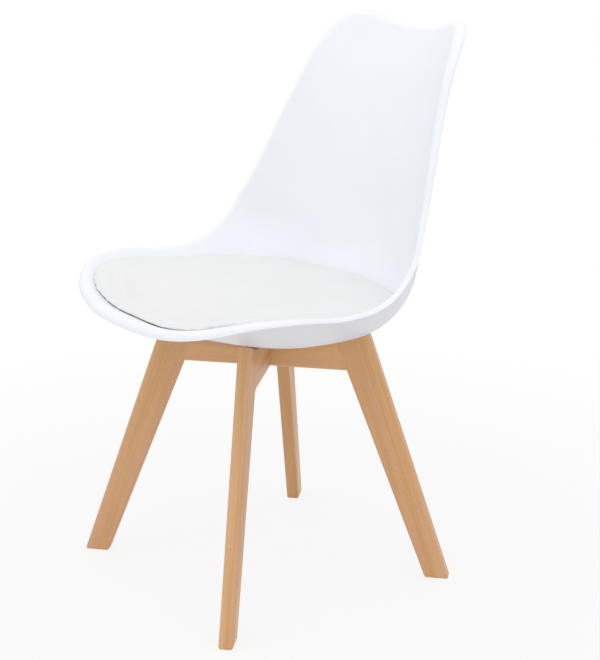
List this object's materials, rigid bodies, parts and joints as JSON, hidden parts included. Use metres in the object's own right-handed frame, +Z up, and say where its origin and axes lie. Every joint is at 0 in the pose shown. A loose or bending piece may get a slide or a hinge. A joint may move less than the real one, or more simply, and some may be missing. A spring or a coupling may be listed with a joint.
{
  "type": "shell chair",
  "caption": "Moulded plastic shell side chair with a padded seat cushion, screwed to a frame of crossed wooden legs",
  "frame": {"origin": "on the floor, in the middle of the chair's overall width and depth", "axes": "+Z up, the seat faces -Y, +X is the sitter's left"},
  "size_m": [0.4848, 0.5468, 0.8253],
  "materials": {
    "shell_plastic": "satin moulded polypropylene, white",
    "cover_leatherette": "soft matt white leatherette",
    "foam": "cut polyurethane foam",
    "plywood": "raw plywood",
    "beech": "clear satin lacquer",
    "dowel_beech": "raw fluted beech",
    "insert_brass": "bright",
    "fastener_steel": "zinc plated",
    "glide_nylon": "natural nylon"
  },
  "bodies": {
    "root": {"seat_shell": "shell_plastic", "threaded_inserts": "insert_brass", "cushion_cover": "cover_leatherette", "cushion_foam": "foam", "cushion_board": "plywood", "cushion_screws": "fastener_steel", "upper_cross_rail": "beech", "lower_cross_rail": "beech", "frame_bolts": "fastener_steel", "spring_washers": "fastener_steel", "flat_washers": "fastener_steel", "foot_glides": "glide_nylon", "glide_nails": "fastener_steel", "front_left_leg": "beech", "front_left_dowels": "dowel_beech", "back_left_leg": "beech", "back_left_dowels": "dowel_beech", "back_right_leg": "beech", "back_right_dowels": "dowel_beech", "front_right_leg": "beech", "front_right_dowels": "dowel_beech"}
  },
  "joints": []
}
